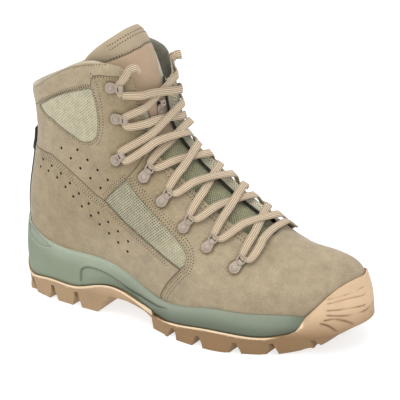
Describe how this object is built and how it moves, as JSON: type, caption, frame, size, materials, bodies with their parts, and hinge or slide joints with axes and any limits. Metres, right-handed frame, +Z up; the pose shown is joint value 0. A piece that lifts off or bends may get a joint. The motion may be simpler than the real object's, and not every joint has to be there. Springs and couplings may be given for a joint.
{
  "type": "hiking boot",
  "caption": "Ankle-high laced hiking boot for the right foot, with a hollow suede upper, a foam midsole, a lugged rubber outsole with a toe bumper, metal lace fittings and a flat lace.",
  "frame": {"origin": "on the ground under the middle of the boot's length and width", "axes": "+X from the heel to the toe, +Y to the inner side of the foot, +Z up from the ground"},
  "size_m": [0.3104, 0.1134, 0.2306],
  "materials": {
    "suede": "napped, matt",
    "tongue_cloth": "woven, matt",
    "midsole_foam": "moulded foam, satin",
    "outsole_rubber": "moulded, matt",
    "insole_felt": "felt, matt",
    "painted_metal": "satin paint",
    "lace_weave": "flat ribbed weave"
  },
  "bodies": {
    "root": {"upper": "suede", "midsole": "midsole_foam", "outsole": "outsole_rubber", "insole": "insole_felt", "tongue": "tongue_cloth", "ring_outer_1": "painted_metal", "ring_outer_2": "painted_metal", "ring_outer_3": "painted_metal", "ring_outer_4": "painted_metal", "ring_outer_5": "painted_metal", "ring_inner_1": "painted_metal", "ring_inner_2": "painted_metal", "ring_inner_3": "painted_metal", "ring_inner_4": "painted_metal", "ring_inner_5": "painted_metal", "hook_outer_1": "painted_metal", "hook_outer_2": "painted_metal", "hook_outer_3": "painted_metal", "hook_inner_1": "painted_metal", "hook_inner_2": "painted_metal", "hook_inner_3": "painted_metal", "tongue_hook": "painted_metal", "lace_crossings": "lace_weave", "lace_end_outer": "lace_weave", "lace_end_inner": "lace_weave"}
  },
  "joints": []
}
